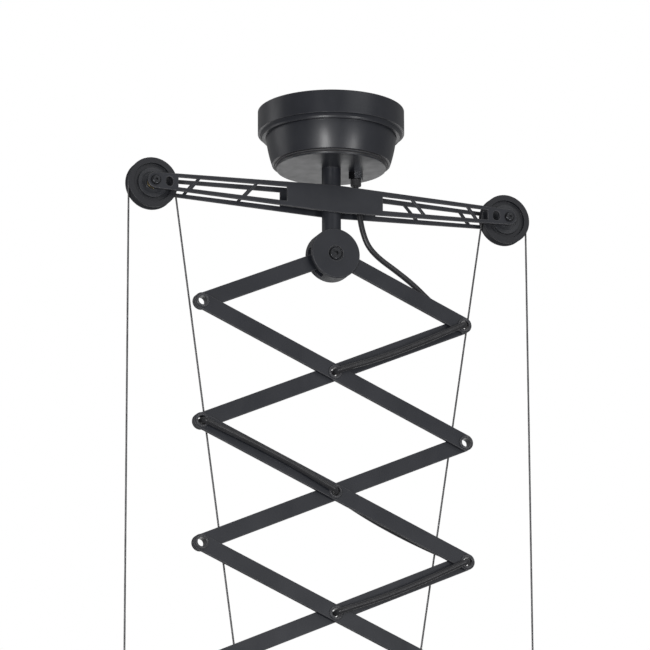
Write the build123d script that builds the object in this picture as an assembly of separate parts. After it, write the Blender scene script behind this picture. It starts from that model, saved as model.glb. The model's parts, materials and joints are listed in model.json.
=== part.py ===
"""Ceiling canopy with a two-pulley crossbar, wire ropes and a lazy-tongs scissor hanger for a lamp.

Millimetres, +Z up, +Y away from the viewer, origin on the ceiling plane over the stem.
"""
from build123d import *
from dataclasses import dataclass
import math
import os

os.makedirs("parts", exist_ok=True)

# ---------------------------------------------------------------- driving dimensions
ARM_PITCH = 154.0          # pivot to pivot along a half arm
REST_ANGLE = 23.6          # slope of the arms at rest, degrees from level
ANGLE_FOLDED = 8.6         # slope with the scissor pushed up
ANGLE_EXTENDED = 43.6      # slope with the scissor pulled down
STAGES = 3                 # crossings between the two hubs
ARM_WIDTH = 16.5
ARM_THICK = 3.5
LAYER_GAP = 1.0            # between the front arms and the back arms
SCISSOR_Y = -5.0           # middle of the two arm layers

RUN_CLEAR = 0.05           # radial clearance of a turning fit
OPEN_CLEAR = 0.35          # radial clearance at the crossings, where the linkage is left open
FACE_CLEAR = 0.1           # between the flat faces of a pivot
BODY_CLEAR = 0.3           # between pieces that move past each other

EYELET_BORE_R = 4.5
EYELET_SHANK_R = 5.6
EYELET_HEAD_R = ARM_WIDTH / 2 - 1.05
EYELET_HEAD_THICK = 1.5

CANOPY_R = 75.0
RING_HEIGHT = 28.0
RING_CORNER = 4.5
CANOPY_WALL = 1.6
CANOPY_LEDGE = 8.0         # step from the ring in to the bowl
BOWL_TOP_R = CANOPY_R - CANOPY_LEDGE
BOWL_FOOT_R = BOWL_TOP_R - 6.5
BOWL_CORNER = 4.5
CANOPY_DEPTH = 61.0

BRACKET_LENGTH = 2 * CANOPY_R - 32.0
BRACKET_WIDTH = 24.0
BRACKET_THICK = 2.5
BRACKET_SLOT_SPACING = 90.0
BRACKET_SLOT_LENGTH = 14.0
BRACKET_SLOT_WIDTH = 5.0

STEM_R = 9.75
STEM_WALL = 1.75
STEM_SPIGOT_R = 6.5        # threaded top of the stem
NUT_THICK = 5.0
WASHER_THICK = 1.5

GLAND_X = 28.0
GLAND_Y = 3.0
GLAND_FLATS = 13.5
GLAND_NUT_LENGTH = 7.5
GLAND_SLEEVE_R = 5.6
GLAND_SLEEVE_LENGTH = 7.5

BAR_Z = -95.5
BAR_AXLE_X = 192.0
BAR_MID_HEIGHT = 29.0
BAR_END_R = 8.3
PLATE_THICK = 2.0
CHORD_INNER = 5.3          # edge strip of a plate beside the middle panel
CHORD_OUTER = 3.9          # edge strip of a plate beside the pulley
WINDOW_INNER_X = 52.0
WINDOW_OUTER_X = BAR_AXLE_X - 24.0
BRACE_WIDTH = 3.2
BRACE_FEET = (0.388, 0.888)     # shares of the window's length
BRACE_TOPS = (0.285, 0.815)
OVAL_X = BAR_AXLE_X - 14.5
OVAL_WIDTH = 7.5
OVAL_HEIGHT = 2 * BAR_END_R - 7.0

PULLEY_R = 26.0
PULLEY_WIDTH = 12.0
PULLEY_GROOVE_R = PULLEY_R - 3.0
PULLEY_FLANGE = 5.8        # width of the flat outer ring of its face
PULLEY_DISC_R = PULLEY_R - 10.5
HUB_DISH = 0.8             # the pulley's middle lies this much inside its rims
PULLEY_Y = 2.5
AXLE_R = 3.0
BUSH_R = 6.0
SPACER_R = 5.5
AXLE_HEAD_R = 5.0
AXLE_HEAD_THICK = 3.0

HUB_Z = -153.5
HUB_R = 26.0
HUB_SLOT_CLEAR = 0.5       # beside the arms, in the slots
HUB_FRONT_WALL = 3.5
HUB_BACK_WALL = 7.5
HUB_PIN_R = 5.0
HUB_RECESS_R = 8.0
HUB_RECESS_DEPTH = 2.2
LAMP_NIPPLE_LENGTH = 22.0
PIVOT_FLANGE = 1.2         # flange of the hollow pivot in the lower hub
LAMP_THREAD_R = 5.0
LAMP_THREAD_LENGTH = 14.0

ROPE_R = 1.0
ROPE_OUTER_END_Z = -602.0  # top of the ferrule on the counterweight side
ROPE_INNER_END_X = 92.0    # top of the ferrule on the lamp side
ROPE_BEHIND_CABLE = 10.1   # from the cable to the rope end behind it
FERRULE_R = 2.4
FERRULE_LENGTH = 11.0
EYE_R = 6.5                # centre line of a rope eye

CABLE_R = 2.9
CABLE_BEND = 6.0           # where the cable turns into an eyelet
CABLE_LIFT = 0.5           # between the cable and the eyelet heads that it passes over
CABLE_SPLIT = 0.15         # half the gap between two lengths of cable that meet inside an eyelet
EDGE = 0.4                 # small bevel on plate and arm edges

# ---------------------------------------------------------------- derived places
HALF_WIDTH = ARM_PITCH * math.cos(math.radians(REST_ANGLE))
HALF_DROP = ARM_PITCH * math.sin(math.radians(REST_ANGLE))
FRONT_LAYER = (SCISSOR_Y - LAYER_GAP / 2 - ARM_THICK, SCISSOR_Y - LAYER_GAP / 2)
BACK_LAYER = (SCISSOR_Y + LAYER_GAP / 2, SCISSOR_Y + LAYER_GAP / 2 + ARM_THICK)
HUB_FRONT_Y = FRONT_LAYER[0] - HUB_SLOT_CLEAR - HUB_FRONT_WALL
HUB_BACK_Y = BACK_LAYER[1] + HUB_SLOT_CLEAR + HUB_BACK_WALL
EYELET_FRONT = FRONT_LAYER[0] - FACE_CLEAR - EYELET_HEAD_THICK
EYELET_BACK = BACK_LAYER[1] + FACE_CLEAR + EYELET_HEAD_THICK
CABLE_FRONT_Y = EYELET_FRONT - CABLE_R - CABLE_LIFT
CABLE_BACK_Y = EYELET_BACK + CABLE_R + CABLE_LIFT
MEET_FRONT_Y = SCISSOR_Y - CABLE_SPLIT
MEET_BACK_Y = SCISSOR_Y + CABLE_SPLIT
LAMP_HUB_Z = HUB_Z - (2 * STAGES + 2) * HALF_DROP
ROPE_TURN_R = PULLEY_GROOVE_R + ROPE_R + 0.05
ROPE_INNER_END = (ROPE_INNER_END_X, CABLE_BACK_Y + CABLE_R + ROPE_BEHIND_CABLE, ROPE_OUTER_END_Z)


@dataclass(frozen=True)
class Spot:
    """A pivot of the scissor: its place across and its height."""
    x: float
    z: float


def level(step):
    """Height of the pivots that are this many half arms below the hub."""
    return HUB_Z - step * HALF_DROP


def side_pivot(side, stage):
    """Outer pivot of a stage, side -1 left and +1 right, stage 1 at the top."""
    return Spot(side * HALF_WIDTH, level(2 * stage - 1))


def crossing(stage):
    """Middle pivot of a stage."""
    return Spot(0.0, level(2 * stage))


# ---------------------------------------------------------------- building blocks
def rod(spot, y0, y1, radius):
    """A cylinder along Y between two depths."""
    return Pos(spot.x, (y0 + y1) / 2, spot.z) * Rot(90, 0, 0) * Cylinder(radius, y1 - y0)


def tube(spot, y0, y1, outer, inner):
    """A tube along Y between two depths."""
    return rod(spot, y0, y1, outer) - rod(spot, y0 - 1, y1 + 1, inner)


def post(x, y, z0, z1, radius):
    """A cylinder along Z between two heights."""
    return Pos(x, y, (z0 + z1) / 2) * Cylinder(radius, z1 - z0)


def hexagon(x, y, z0, z1, flats):
    """A hexagonal prism along Z between two heights."""
    outline = RegularPolygon(flats / 2, 6, major_radius=False)
    return Pos(x, y, z0) * extrude(outline, z1 - z0)


def plate(outline, y0, y1):
    """An outline drawn as (x, z), made a plate between two depths."""
    turned = Plane(origin=(0, y1, 0), x_dir=(1, 0, 0), z_dir=(0, -1, 0)) * outline
    return extrude(turned, y1 - y0)


def bevelled(solid, depths, size):
    """The solid with the edges that lie in those depths broken by a small bevel."""
    edges = [e for e in solid.edges() if any(on_depth(e, y) for y in depths)]
    return chamfer(edges, size)


def on_depth(edge, y):
    """Whether an edge lies wholly in the plane of that depth."""
    box = edge.bounding_box()
    return abs(box.min.Y - y) < 1e-4 and abs(box.max.Y - y) < 1e-4


def turned_profile(points, spot):
    """A closed profile of (radius, depth) points turned round the Y axis through a spot."""
    face = make_face(Polyline(*[(r, y, 0) for r, y in points], close=True))
    return Pos(spot.x, 0, spot.z) * revolve(face, Axis.Y)


def save(name, *solids):
    """Write one node, a piece or a group of like pieces."""
    shape = solids[0] if len(solids) == 1 else Compound(children=[single(s) for s in solids])
    export_step(shape, f"parts/{name}.step")


def single(shape):
    """The one solid inside a shape."""
    return shape.solids()[0]


# ---------------------------------------------------------------- canopy and stem
def canopy_ring():
    """Deep rim that stands against the ceiling, with a rolled lower edge."""
    foot = -RING_HEIGHT
    inner = BOWL_TOP_R
    shell_r = CANOPY_R - CANOPY_WALL
    outline = Polyline((shell_r, 0), (CANOPY_R, 0), (CANOPY_R, foot + RING_CORNER))
    roll = RadiusArc((CANOPY_R, foot + RING_CORNER), (CANOPY_R - RING_CORNER, foot), -RING_CORNER)
    inside = Polyline(
        (CANOPY_R - RING_CORNER, foot),
        (inner, foot),
        (inner, foot + CANOPY_WALL),
        (shell_r - RING_CORNER, foot + CANOPY_WALL),
        (shell_r, foot + RING_CORNER + CANOPY_WALL),
        (shell_r, 0),
    )
    face = make_face(Curve() + [outline, roll, inside])
    return revolve(Plane.XZ * face, Axis.Z)


def canopy_bowl():
    """Bowl under the ring, open at the top, with holes for the stem and the gland."""
    top = -RING_HEIGHT + CANOPY_WALL + BODY_CLEAR
    foot = -CANOPY_DEPTH
    wall = CANOPY_WALL
    rim_r = BOWL_TOP_R - 0.1
    outer_side = ThreePointArc(
        (rim_r, top),
        ((rim_r + BOWL_FOOT_R) / 2 + 0.9, (top + foot + BOWL_CORNER) / 2),
        (BOWL_FOOT_R, foot + BOWL_CORNER),
    )
    outer_corner = RadiusArc((BOWL_FOOT_R, foot + BOWL_CORNER), (BOWL_FOOT_R - BOWL_CORNER, foot), -BOWL_CORNER)
    inner_side = ThreePointArc(
        (BOWL_FOOT_R - wall, foot + BOWL_CORNER),
        ((rim_r + BOWL_FOOT_R) / 2 + 0.9 - wall, (top + foot + BOWL_CORNER) / 2),
        (rim_r - wall, top),
    )
    rest = Polyline(
        (BOWL_FOOT_R - BOWL_CORNER, foot),
        (0, foot),
        (0, foot + wall),
        (BOWL_FOOT_R - BOWL_CORNER, foot + wall),
        (BOWL_FOOT_R - wall, foot + BOWL_CORNER),
    )
    lip = Polyline((rim_r - wall, top), (rim_r, top))
    face = make_face(Curve() + [outer_side, outer_corner, rest, inner_side, lip])
    bowl = revolve(Plane.XZ * face, Axis.Z)
    bowl -= post(0, 0, foot - 1, foot + wall + 1, STEM_SPIGOT_R + RUN_CLEAR)
    return bowl - post(GLAND_X, GLAND_Y, foot - 1, foot + wall + 1, GLAND_SLEEVE_R - 1.0 + RUN_CLEAR)


def ceiling_bracket():
    """Strap that the screws hold to the ceiling; the spigot of the stem hangs in its middle hole."""
    strap = Pos(0, 0, -BRACKET_THICK / 2) * Box(BRACKET_LENGTH, BRACKET_WIDTH, BRACKET_THICK)
    slot = extrude(SlotOverall(BRACKET_SLOT_LENGTH, BRACKET_SLOT_WIDTH), BRACKET_THICK + 2)
    for side in (-1, 1):
        strap -= Pos(side * BRACKET_SLOT_SPACING / 2, 0, -BRACKET_THICK - 1) * slot
    return strap - post(0, 0, -BRACKET_THICK - 1, 1, STEM_SPIGOT_R + RUN_CLEAR)


def stem():
    """Tube from the canopy to the hub, coped over the hub, with a threaded spigot on top."""
    foot = HUB_Z + 0.75 * HUB_R
    tube_top = -CANOPY_DEPTH
    body = post(0, 0, foot, tube_top, STEM_R)
    body -= post(0, 0, foot - 1, tube_top - 6, STEM_R - STEM_WALL)
    body += post(0, 0, tube_top - 3, -0.5, STEM_SPIGOT_R)
    body -= rod(Spot(0, HUB_Z), HUB_FRONT_Y - 1, HUB_BACK_Y, HUB_R)
    return single(body)


def stem_nuts():
    """Two nuts on the spigot: one under the bracket and one clamping the bowl."""
    heights = (-BRACKET_THICK - NUT_THICK, -CANOPY_DEPTH + CANOPY_WALL + WASHER_THICK)
    hole = post(0, 0, -CANOPY_DEPTH, 0, STEM_SPIGOT_R)
    return [single(hexagon(0, 0, z, z + NUT_THICK, 19.0) - hole) for z in heights]


def stem_washer():
    """Wide washer inside the bowl under the lower nut."""
    z = -CANOPY_DEPTH + CANOPY_WALL
    return post(0, 0, z, z + WASHER_THICK, 14.0) - post(0, 0, z - 1, z + 3, STEM_SPIGOT_R)


def gland_body():
    """Hexagonal body of the cable gland under the bowl, with its threaded neck up through the bowl."""
    top = -CANOPY_DEPTH
    body = hexagon(GLAND_X, GLAND_Y, top - GLAND_NUT_LENGTH, top, GLAND_FLATS)
    body += post(GLAND_X, GLAND_Y, top - 1, top + 9, GLAND_SLEEVE_R - 1.0)
    return single(body - post(GLAND_X, GLAND_Y, top - 20, top + 10, CABLE_R + 0.3))


def gland_locknut():
    """Thin nut that holds the gland from inside the bowl."""
    z0 = -CANOPY_DEPTH + CANOPY_WALL
    ring = hexagon(GLAND_X, GLAND_Y, z0, z0 + 2.5, 13.0)
    return ring - post(GLAND_X, GLAND_Y, z0 - 1, z0 + 4, GLAND_SLEEVE_R - 1.0)


def gland_sleeve():
    """Ribbed rubber sleeve that grips the cable under the gland nut."""
    top = -CANOPY_DEPTH - GLAND_NUT_LENGTH
    foot = top - GLAND_SLEEVE_LENGTH
    sleeve = post(GLAND_X, GLAND_Y, foot, top, GLAND_SLEEVE_R - 0.7)
    band = GLAND_SLEEVE_LENGTH / 5
    for k in (0, 2, 4):
        sleeve += post(GLAND_X, GLAND_Y, foot + k * band, foot + (k + 1) * band, GLAND_SLEEVE_R)
    return sleeve - post(GLAND_X, GLAND_Y, foot - 1, top + 1, CABLE_R)


# ---------------------------------------------------------------- crossbar and pulleys
def bar_half_height(x):
    """Half the height of the crossbar plates at a distance from the middle."""
    return BAR_MID_HEIGHT / 2 + (BAR_END_R - BAR_MID_HEIGHT / 2) * abs(x) / BAR_AXLE_X


def bar_plate(y0):
    """One cut-out plate of the crossbar: a tapered bar with braced windows on both sides."""
    ends = [(-BAR_AXLE_X, 1), (0, 1), (BAR_AXLE_X, 1), (BAR_AXLE_X, -1), (0, -1), (-BAR_AXLE_X, -1)]
    outline = make_face(Polyline(*[(x, s * bar_half_height(x)) for x, s in ends], close=True))
    for side in (-1, 1):
        outline += Pos(side * BAR_AXLE_X, 0) * Circle(BAR_END_R)
        outline -= Pos(side * BAR_AXLE_X, 0) * Circle(AXLE_R + RUN_CLEAR)
        outline -= Pos(side * OVAL_X, 0) * RectangleRounded(OVAL_WIDTH, OVAL_HEIGHT, OVAL_WIDTH / 2 - 0.1)
        for opening in window_parts(side):
            outline -= opening
    return plate(Pos(0, BAR_Z) * outline, y0, y0 + PLATE_THICK)


def chord(x):
    """Width of the edge strip of a plate at a distance from the middle."""
    share = (abs(x) - WINDOW_INNER_X) / (WINDOW_OUTER_X - WINDOW_INNER_X)
    return CHORD_INNER + (CHORD_OUTER - CHORD_INNER) * share


def window_parts(side):
    """The three openings that two slanting braces leave in one window."""
    length = WINDOW_OUTER_X - WINDOW_INNER_X
    foot_half = BRACE_WIDTH * 0.62
    lefts = [(WINDOW_INNER_X, WINDOW_INNER_X)]
    rights = []
    for foot_share, top_share in zip(BRACE_FEET, BRACE_TOPS):
        foot_x = WINDOW_INNER_X + foot_share * length
        top_x = WINDOW_INNER_X + top_share * length
        rights.append((foot_x - foot_half, top_x - foot_half))
        lefts.append((foot_x + foot_half, top_x + foot_half))
    rights.append((WINDOW_OUTER_X, WINDOW_OUTER_X))
    openings = []
    for (foot_a, top_a), (foot_b, top_b) in zip(lefts, rights):
        corners = [(foot_a, -1), (foot_b, -1), (top_b, 1), (top_a, 1)]
        points = [(side * x, s * (bar_half_height(x) - chord(x))) for x, s in corners]
        openings.append(make_face(Polyline(*points, close=True)))
    return openings


def axle_spot(side):
    """Axle of a pulley."""
    return Spot(side * BAR_AXLE_X, BAR_Z)


def pulley(side):
    """Grooved wheel with a dished face, a dark ring channel and fine turned rings."""
    front = PULLEY_Y - PULLEY_WIDTH / 2
    back = PULLEY_Y + PULLEY_WIDTH / 2
    lip = 1.6
    groove = ROPE_R + 0.6
    ring = PULLEY_R - PULLEY_FLANGE
    disc = PULLEY_DISC_R
    channel = PULLEY_WIDTH / 4 + 0.2
    profile = [(BUSH_R, front + HUB_DISH), (8.0, front + HUB_DISH), (8.2, front + 1.2), (11.0, front + 1.2)]
    profile += [(11.2, front + HUB_DISH), (disc, front + HUB_DISH), (disc + 0.3, front + channel)]
    profile += [(ring - 0.4, front + channel), (ring, front), (PULLEY_R - 0.5, front), (PULLEY_R, front + 0.5)]
    profile += [(PULLEY_R, front + lip), (PULLEY_GROOVE_R, PULLEY_Y - groove)]
    profile += [(PULLEY_GROOVE_R, PULLEY_Y + groove), (PULLEY_R, back - lip), (PULLEY_R, back - 0.5)]
    profile += [(PULLEY_R - 0.5, back), (ring, back), (ring - 0.4, back - channel), (disc + 0.3, back - channel)]
    profile += [(disc, back - HUB_DISH), (BUSH_R, back - HUB_DISH)]
    return turned_profile(profile, axle_spot(side))


def pulley_bush(side):
    """Bearing bush pressed in the pulley and running on the axle."""
    half = PULLEY_WIDTH / 2 - HUB_DISH
    return tube(axle_spot(side), PULLEY_Y - half, PULLEY_Y + half, BUSH_R, AXLE_R + RUN_CLEAR)


def axle_bolt(side):
    """Bolt across both plates that the pulley turns on, with a domed head in front."""
    spot = axle_spot(side)
    front = -STEM_R - PLATE_THICK
    shank = rod(spot, front, STEM_R + PLATE_THICK + 5.0, AXLE_R)
    head = rod(spot, front - AXLE_HEAD_THICK, front, AXLE_HEAD_R)
    head = fillet([e for e in head.edges() if on_depth(e, front - AXLE_HEAD_THICK)], AXLE_HEAD_THICK * 0.6)
    socket = Plane(origin=(spot.x, front - AXLE_HEAD_THICK, spot.z), z_dir=(0, 1, 0)) * RegularPolygon(1.6, 6)
    return shank + head - extrude(socket, 1.6)


def axle_nut(side):
    """Nut on the back of an axle bolt."""
    spot = axle_spot(side)
    y0 = STEM_R + PLATE_THICK
    face = Plane(origin=(spot.x, y0, spot.z), z_dir=(0, 1, 0)) * RegularPolygon(5.0, 6, major_radius=False)
    return extrude(face, 4.0) - rod(spot, y0 - 1, y0 + 6, AXLE_R)


def axle_spacers(side):
    """Long and short spacer that keep the pulley between the two plates."""
    reach = PULLEY_WIDTH / 2 - HUB_DISH + BODY_CLEAR
    spot = axle_spot(side)
    long = tube(spot, -STEM_R, PULLEY_Y - reach, SPACER_R, AXLE_R)
    short = tube(spot, PULLEY_Y + reach, STEM_R, SPACER_R, AXLE_R)
    return long, short


# ---------------------------------------------------------------- hubs
def arm_slots(spot, up):
    """Room for both arms over their whole swing, up +1 for the lower hub and -1 for the upper one."""
    half = ARM_WIDTH / 2 + HUB_SLOT_CLEAR
    y0 = FRONT_LAYER[0] - HUB_SLOT_CLEAR
    y1 = BACK_LAYER[1] + HUB_SLOT_CLEAR
    room = rod(spot, y0, y1, half)
    reach = HUB_R + 4
    steps = 5
    for side in (-1, 1):
        for k in range(steps):
            slope = ANGLE_FOLDED + (ANGLE_EXTENDED - ANGLE_FOLDED) * k / (steps - 1)
            swing = Pos(reach / 2, (y0 + y1) / 2, 0) * Box(reach, y1 - y0, 2 * half)
            turn = slope * -up if side > 0 else 180 + slope * up
            room += Pos(spot.x, 0, spot.z) * Rot(0, turn, 0) * swing
    return room


def hub_drum(spot, up):
    """Round housing whose side slots take the two half arms."""
    drum = rod(spot, HUB_FRONT_Y, HUB_BACK_Y, HUB_R)
    drum = bevelled(drum, (HUB_FRONT_Y, HUB_BACK_Y), 0.8)
    return drum - arm_slots(spot, up)


def upper_hub():
    """Housing welded to the stem, with a recess for the bolt head."""
    spot = Spot(0, HUB_Z)
    drum = hub_drum(spot, -1)
    drum -= rod(spot, HUB_FRONT_Y - 1, HUB_FRONT_Y + HUB_RECESS_DEPTH, HUB_RECESS_R)
    drum -= rod(spot, HUB_BACK_Y - HUB_RECESS_DEPTH, HUB_BACK_Y + 1, HUB_RECESS_R)
    return single(drum - rod(spot, HUB_FRONT_Y - 1, HUB_BACK_Y + 1, HUB_PIN_R))


def hub_bolt():
    """Bolt that both upper half arms turn on."""
    spot = Spot(0, HUB_Z)
    seat = HUB_FRONT_Y + HUB_RECESS_DEPTH
    head = rod(spot, seat - 2.6, seat, 6.4)
    head = fillet([e for e in head.edges() if on_depth(e, seat - 2.6)], 1.2)
    socket = Plane(origin=(0, seat - 2.6, HUB_Z), z_dir=(0, 1, 0)) * RegularPolygon(2.6, 6)
    return head + rod(spot, seat, HUB_BACK_Y + 1.5, HUB_PIN_R) - extrude(socket, 1.8)


def hub_nut():
    """Nut sunk in the back of the upper hub."""
    y0 = HUB_BACK_Y - HUB_RECESS_DEPTH
    face = Plane(origin=(0, y0, HUB_Z), z_dir=(0, 1, 0)) * RegularPolygon(6.6, 6, major_radius=False)
    return extrude(face, 3.2) - rod(Spot(0, HUB_Z), y0 - 1, y0 + 4, HUB_PIN_R)


def lamp_hub():
    """Housing at the foot of the scissor, with a threaded nipple for the lamp."""
    spot = Spot(0, LAMP_HUB_Z)
    foot = LAMP_HUB_Z - HUB_R - LAMP_NIPPLE_LENGTH + 4
    middle = (HUB_FRONT_Y + HUB_BACK_Y) / 2
    nipple = post(0, middle, foot, LAMP_HUB_Z - HUB_R + 4, STEM_R)
    drum = hub_drum(spot, 1) + (nipple - rod(spot, HUB_FRONT_Y - 1, HUB_BACK_Y + 1, HUB_R - 1))
    drum -= rod(spot, HUB_FRONT_Y - 1, HUB_BACK_Y + 1, EYELET_SHANK_R)
    return single(drum - post(0, middle, foot - 1, foot + LAMP_THREAD_LENGTH, LAMP_THREAD_R))


def lamp_pivot():
    """Hollow pivot of the lower hub, which the cable goes into."""
    spot = Spot(0, LAMP_HUB_Z)
    flange = tube(spot, HUB_FRONT_Y - PIVOT_FLANGE, HUB_FRONT_Y, EYELET_HEAD_R, EYELET_BORE_R)
    return flange + tube(spot, HUB_FRONT_Y, HUB_BACK_Y, EYELET_SHANK_R, EYELET_BORE_R)


# ---------------------------------------------------------------- scissor arms and pivots
def arm(start, end, layer, holes):
    """Flat bar with round ends between two pivots, with (distance, radius) holes along it."""
    dx, dz = end.x - start.x, end.z - start.z
    length = math.hypot(dx, dz)
    thick = layer[1] - layer[0]
    bar = Pos(length / 2, 0, 0) * Box(length, thick, ARM_WIDTH)
    for at in (0, length):
        bar += rod(Spot(at, 0), -thick / 2, thick / 2, ARM_WIDTH / 2)
    bar = bevelled(bar, (-thick / 2, thick / 2), EDGE)
    for at, radius in holes:
        bar -= rod(Spot(at, 0), -thick, thick, radius)
    turn = -math.degrees(math.atan2(dz, dx))
    return single(Pos(start.x, sum(layer) / 2, start.z) * Rot(0, turn, 0) * bar)


def eyelet(spot):
    """Hollow shouldered rivet: a tube with a rolled head on both sides and a collar between the arms."""
    r, head, bore = EYELET_SHANK_R, EYELET_HEAD_R, EYELET_BORE_R
    collar = LAYER_GAP / 2 - FACE_CLEAR
    lip = 0.7
    profile = [(bore, EYELET_FRONT + 0.5), (bore + 0.5, EYELET_FRONT), (head - lip, EYELET_FRONT)]
    profile += [(head, EYELET_FRONT + lip), (head, FRONT_LAYER[0] - FACE_CLEAR), (r, FRONT_LAYER[0] - FACE_CLEAR)]
    profile += [(r, SCISSOR_Y - collar), (head, SCISSOR_Y - collar), (head, SCISSOR_Y + collar), (r, SCISSOR_Y + collar)]
    profile += [(r, BACK_LAYER[1] + FACE_CLEAR), (head, BACK_LAYER[1] + FACE_CLEAR), (head, EYELET_BACK - lip)]
    profile += [(head - lip, EYELET_BACK), (bore + 0.5, EYELET_BACK), (bore, EYELET_BACK - 0.5)]
    return turned_profile(profile, spot)


def full_arm(side, stage):
    """Arm of a stage that starts at the left (-1) or the right (+1) and crosses to the other side."""
    layer = FRONT_LAYER if side < 0 else BACK_LAYER
    fit = EYELET_SHANK_R + RUN_CLEAR
    middle = EYELET_SHANK_R + OPEN_CLEAR
    holes = [(0, fit), (ARM_PITCH, middle), (2 * ARM_PITCH, fit)]
    return arm(side_pivot(side, stage), side_pivot(-side, stage + 1), layer, holes)


def upper_half_arm(side):
    """Half arm from the upper hub to a first outer pivot."""
    layer = BACK_LAYER if side < 0 else FRONT_LAYER
    holes = [(0, HUB_PIN_R + RUN_CLEAR), (ARM_PITCH, EYELET_SHANK_R + RUN_CLEAR)]
    return arm(Spot(0, HUB_Z), side_pivot(side, 1), layer, holes)


def lower_half_arm(side):
    """Half arm from a last outer pivot to the lower hub."""
    layer = FRONT_LAYER if side < 0 else BACK_LAYER
    hub_fit = EYELET_SHANK_R + (RUN_CLEAR if side < 0 else OPEN_CLEAR)
    holes = [(0, EYELET_SHANK_R + RUN_CLEAR), (ARM_PITCH, hub_fit)]
    return arm(side_pivot(side, STAGES + 1), Spot(0, LAMP_HUB_Z), layer, holes)


# ---------------------------------------------------------------- ropes
def inner_tangent(side):
    """Where the rope to the lamp leaves its pulley, as an angle and a point."""
    dx = ROPE_INNER_END[0] - BAR_AXLE_X
    dz = ROPE_INNER_END[2] - BAR_Z
    angle = math.atan2(dz, -dx) + math.acos(ROPE_TURN_R / math.hypot(dx, dz))
    x = side * (BAR_AXLE_X - ROPE_TURN_R * math.cos(angle))
    return angle, Vector(x, PULLEY_Y, BAR_Z + ROPE_TURN_R * math.sin(angle))


def rope_turn(side):
    """Rope that lies in the groove over the top of a pulley."""
    angle, _ = inner_tangent(side)
    centre = axle_spot(side)
    plane = Plane(origin=(centre.x, PULLEY_Y, centre.z), x_dir=(side, 0, 0), z_dir=(0, -side, 0))
    path = plane * CenterArc((0, 0), ROPE_TURN_R, 0, 180 - math.degrees(angle))
    section = Plane(origin=path @ 0, z_dir=path % 0) * Circle(ROPE_R)
    return sweep(section, path)


def straight_rope(start, end, radius):
    """A straight round length between two points."""
    way = end - start
    return extrude(Plane(origin=start, z_dir=way.normalized()) * Circle(radius), way.length)


def outer_rope(side):
    """Rope to the counterweight, plumb under the outer side of its pulley."""
    x = side * (BAR_AXLE_X + ROPE_TURN_R)
    top = Vector(x, PULLEY_Y, BAR_Z - BODY_CLEAR)
    return straight_rope(top, Vector(x, PULLEY_Y, ROPE_OUTER_END_Z), ROPE_R)


def inner_rope(side):
    """Rope to the lamp, slanting in behind the arms."""
    _, start = inner_tangent(side)
    end = inner_end(side)
    return straight_rope(start + (end - start).normalized() * BODY_CLEAR, end, ROPE_R)


def inner_end(side):
    """Top of the ferrule on the lamp side."""
    x, y, z = ROPE_INNER_END
    return Vector(side * x, y, z)


def rope_end(top, way):
    """Ferrule and eye at the end of a rope that comes down along a direction."""
    foot = top + way * FERRULE_LENGTH
    ferrule = straight_rope(top, foot, FERRULE_R)
    centre = foot + way * (EYE_R + ROPE_R + 0.1)
    eye = Plane(origin=centre, z_dir=(0, 1, 0)) * Torus(EYE_R, ROPE_R)
    return ferrule, eye


# ---------------------------------------------------------------- power cable
def smooth_radii(points, fixed):
    """A bend radius for each inner point of a route: as large as its two runs allow, or a fixed one."""
    radii = []
    for k in range(1, len(points) - 1):
        before, after = points[k] - points[k - 1], points[k + 1] - points[k]
        turn = math.radians(before.get_angle(after))
        largest = 0.45 * min(before.length, after.length) / math.tan(turn / 2)
        radii.append(fixed.get(k, largest))
    return radii


def cable(name, points, fixed):
    """Cable of runs and arcs along a route; prints its radii, its length and its volume check."""
    corners = [Vector(*p) for p in points]
    radii = smooth_radii(corners, fixed)
    path = FilletPolyline(*corners, radius=radii)
    wire = path.wire() if hasattr(path, "wire") else Wire(path.edges())
    section = Plane(origin=wire @ 0, z_dir=wire % 0) * Circle(CABLE_R)
    solid = sweep(section, path)
    share = solid.volume / (math.pi * CABLE_R**2 * wire.length)
    print(name, "radii", [round(r) for r in radii], "length", round(wire.length, 1), "volume", round(share, 4))
    return solid


def along(start, end, share, y, sag):
    """A route point part of the way from one pivot to another, hanging a little under the straight line."""
    return (start.x + (end.x - start.x) * share, y, start.z + (end.z - start.z) * share - sag)


def threaded_route(first, middle, last):
    """Route along one arm: out of an eyelet, down its front, through the crossing and down its back."""
    return [
        (first.x, MEET_FRONT_Y, first.z),
        (first.x, CABLE_FRONT_Y, first.z),
        along(first, middle, 0.36, CABLE_FRONT_Y + 0.9, 2.4),
        along(first, middle, 0.68, CABLE_FRONT_Y + 0.9, 2.0),
        (middle.x, CABLE_FRONT_Y, middle.z),
        (middle.x, CABLE_BACK_Y, middle.z),
        along(middle, last, 0.33, CABLE_BACK_Y + 0.3, 4.5),
        along(middle, last, 0.66, CABLE_BACK_Y + 0.4, 4.0),
        (last.x, CABLE_BACK_Y, last.z),
        (last.x, MEET_BACK_Y, last.z),
    ]


THREADED_BENDS = {1: CABLE_BEND, 4: CABLE_BEND, 5: CABLE_BEND, 8: CABLE_BEND}

# Free loop from the gland, down between the crossbar plates and behind the right arm.
UPPER_ROUTE = [
    (GLAND_X, GLAND_Y, -CANOPY_DEPTH - GLAND_NUT_LENGTH - GLAND_SLEEVE_LENGTH),
    (28.6, 2.9, -88.0),
    (31.5, 2.8, -105.0),
    (35.0, 3.0, -123.0),
    (41.0, 3.5, -138.0),
    (53.0, 3.9, -149.5),
    (72.0, 4.2, -161.0),
    (91.0, 4.2, -174.0),
    (107.5, 4.2, -188.5),
]


def entry_route():
    """The rest of that loop, which rides on the right arm: along its back and into its eyelet."""
    first = side_pivot(1, 1)
    return [
        (108.7, 4.2, -189.45),
        (126.5, 4.1, -203.5),
        (first.x, CABLE_BACK_Y, first.z),
        (first.x, MEET_BACK_Y, first.z),
    ]


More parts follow.
